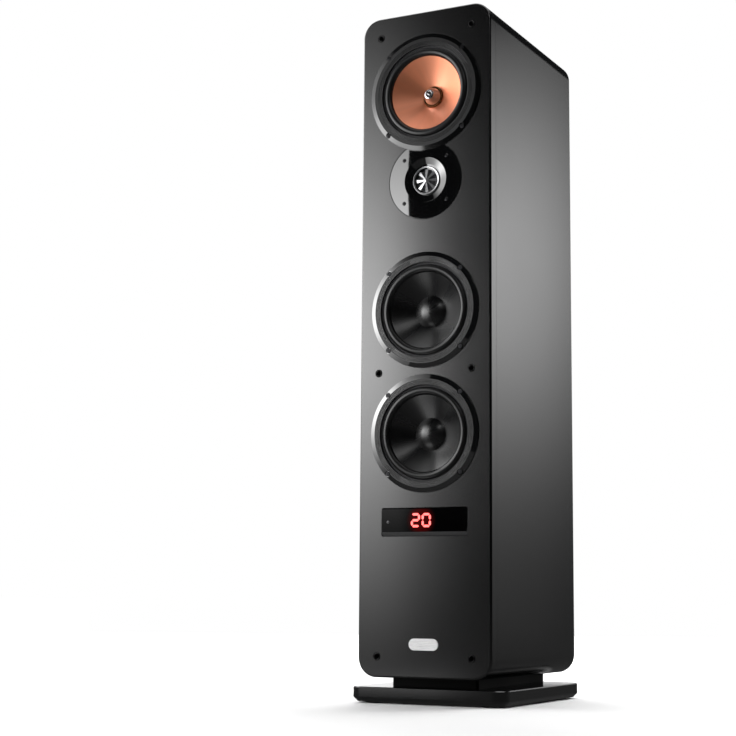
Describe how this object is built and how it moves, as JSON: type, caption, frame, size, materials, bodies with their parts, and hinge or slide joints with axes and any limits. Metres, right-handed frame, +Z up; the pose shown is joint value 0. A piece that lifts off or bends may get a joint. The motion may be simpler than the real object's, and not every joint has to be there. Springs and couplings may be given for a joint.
{
  "type": "floorstanding speaker",
  "caption": "Tall slim active loudspeaker: copper-coned midrange, tweeter, woofers and a small red display, on a low plinth and wide base plate, amplifier panel low on the back.",
  "frame": {"origin": "on the floor, under the middle of the whole object's outer box", "axes": "+Z up, the drivers face -Y, +X is to the right when the front is looked at"},
  "size_m": [0.25, 0.3384, 1.044],
  "materials": {
    "black_lacquer": "satin black lacquer over fibreboard",
    "bare_board": "raw fibreboard",
    "wadding": "loose polyester wadding",
    "satin_plastic": "fine moulded texture",
    "rubber": "matt butyl rubber",
    "gloss_black": "polished black",
    "smoked_window": "polished, nearly opaque black acrylic",
    "circuit_board": "green solder mask",
    "silver_metal": "fine turned",
    "black_cone": "coated paper, soft sheen",
    "dome_cloth": "doped woven dome",
    "copper_cone": "copper-coloured anodised, radial brushed sheen",
    "bare_steel": "zinc plated",
    "copper_wire": "enamelled copper winding",
    "red_plastic": "gloss red",
    "black_metal": "black powder coat",
    "spider_cloth": "resin-stiffened weave",
    "ferrite": "sintered, slightly rough",
    "display_led": "lit red segments"
  },
  "bodies": {
    "root": {"amp_board": "circuit_board", "amp_heat_sink": "silver_metal", "amp_panel": "satin_plastic", "badge_plate": "silver_metal", "base_plate": "black_lacquer", "cabinet_shell": "black_lacquer", "damping_pad": "wadding", "display_board": "circuit_board", "display_window": "smoked_window", "foot_front_left": "rubber", "foot_front_right": "rubber", "foot_rear_left": "rubber", "foot_rear_right": "rubber", "front_baffle": "black_lacquer", "input_jack_strip": "satin_plastic", "mains_inlet": "satin_plastic", "mains_transformer": "copper_wire", "midrange_basket": "black_metal", "midrange_chamber": "bare_board", "midrange_magnet": "ferrite", "midrange_phase_plug": "silver_metal", "midrange_spider": "spider_cloth", "midrange_surround": "rubber", "midrange_top_plate": "bare_steel", "midrange_trim_ring": "gloss_black", "midrange_yoke": "bare_steel", "plinth_block": "black_lacquer", "port_tube": "satin_plastic", "rear_panel": "black_lacquer", "tweeter_diffuser": "silver_metal", "tweeter_faceplate": "gloss_black", "tweeter_magnet": "bare_steel", "tweeter_rear_cup": "satin_plastic", "window_brace": "bare_board", "woofer_lower_basket": "black_metal", "woofer_lower_magnet": "ferrite", "woofer_lower_spider": "spider_cloth", "woofer_lower_surround": "rubber", "woofer_lower_top_plate": "bare_steel", "woofer_lower_trim_ring": "gloss_black", "woofer_lower_yoke": "bare_steel", "woofer_upper_basket": "black_metal", "woofer_upper_magnet": "ferrite", "woofer_upper_spider": "spider_cloth", "woofer_upper_surround": "rubber", "woofer_upper_top_plate": "bare_steel", "woofer_upper_trim_ring": "gloss_black", "woofer_upper_yoke": "bare_steel"},
    "woofer_upper_moving": {"woofer_upper_cone": "black_cone", "woofer_upper_dust_cap": "black_cone", "woofer_upper_voice_coil": "copper_wire"},
    "woofer_lower_moving": {"woofer_lower_cone": "black_cone", "woofer_lower_dust_cap": "black_cone", "woofer_lower_voice_coil": "copper_wire"},
    "midrange_moving": {"midrange_cone": "copper_cone", "midrange_voice_coil": "copper_wire"},
    "tweeter_moving": {"tweeter_dome": "dome_cloth"},
    "power_rocker": {"power_rocker": "satin_plastic"},
    "speaker_post_red": {"speaker_post_red": "red_plastic"},
    "speaker_post_black": {"speaker_post_black": "satin_plastic"}
  },
  "joints": [
    {"name": "woofer_upper_travel", "type": "slide", "parent": "root", "child": "woofer_upper_moving", "axis": [0, -1, 0], "range_m": [-0.005, 0.005], "stiffness_N_per_m": 1500, "deforming": ["woofer_upper_surround", "woofer_upper_spider"]},
    {"name": "woofer_lower_travel", "type": "slide", "parent": "root", "child": "woofer_lower_moving", "axis": [0, -1, 0], "range_m": [-0.005, 0.005], "stiffness_N_per_m": 1500, "deforming": ["woofer_lower_surround", "woofer_lower_spider"]},
    {"name": "midrange_travel", "type": "slide", "parent": "root", "child": "midrange_moving", "axis": [0, -1, 0], "range_m": [-0.0025, 0.0025], "stiffness_N_per_m": 1500, "deforming": ["midrange_surround", "midrange_spider"]},
    {"name": "tweeter_travel", "type": "slide", "parent": "root", "child": "tweeter_moving", "axis": [0, -1, 0], "range_m": [-0.0004, 0.0004], "stiffness_N_per_m": 2000},
    {"name": "power_rocker_tilt", "type": "hinge", "parent": "root", "child": "power_rocker", "pos_m": [0.048, 0.15375, 0.185], "axis": [1, 0, 0], "range_deg": [0, 16]},
    {"name": "speaker_post_red_turn", "type": "hinge", "parent": "root", "child": "speaker_post_red", "pos_m": [-0.037, 0.15375, 0.15], "axis": [0, 1, 0], "range_deg": [0, 1080]},
    {"name": "speaker_post_black_turn", "type": "hinge", "parent": "root", "child": "speaker_post_black", "pos_m": [-0.059, 0.15375, 0.15], "axis": [0, 1, 0], "range_deg": [0, 1080]}
  ]
}
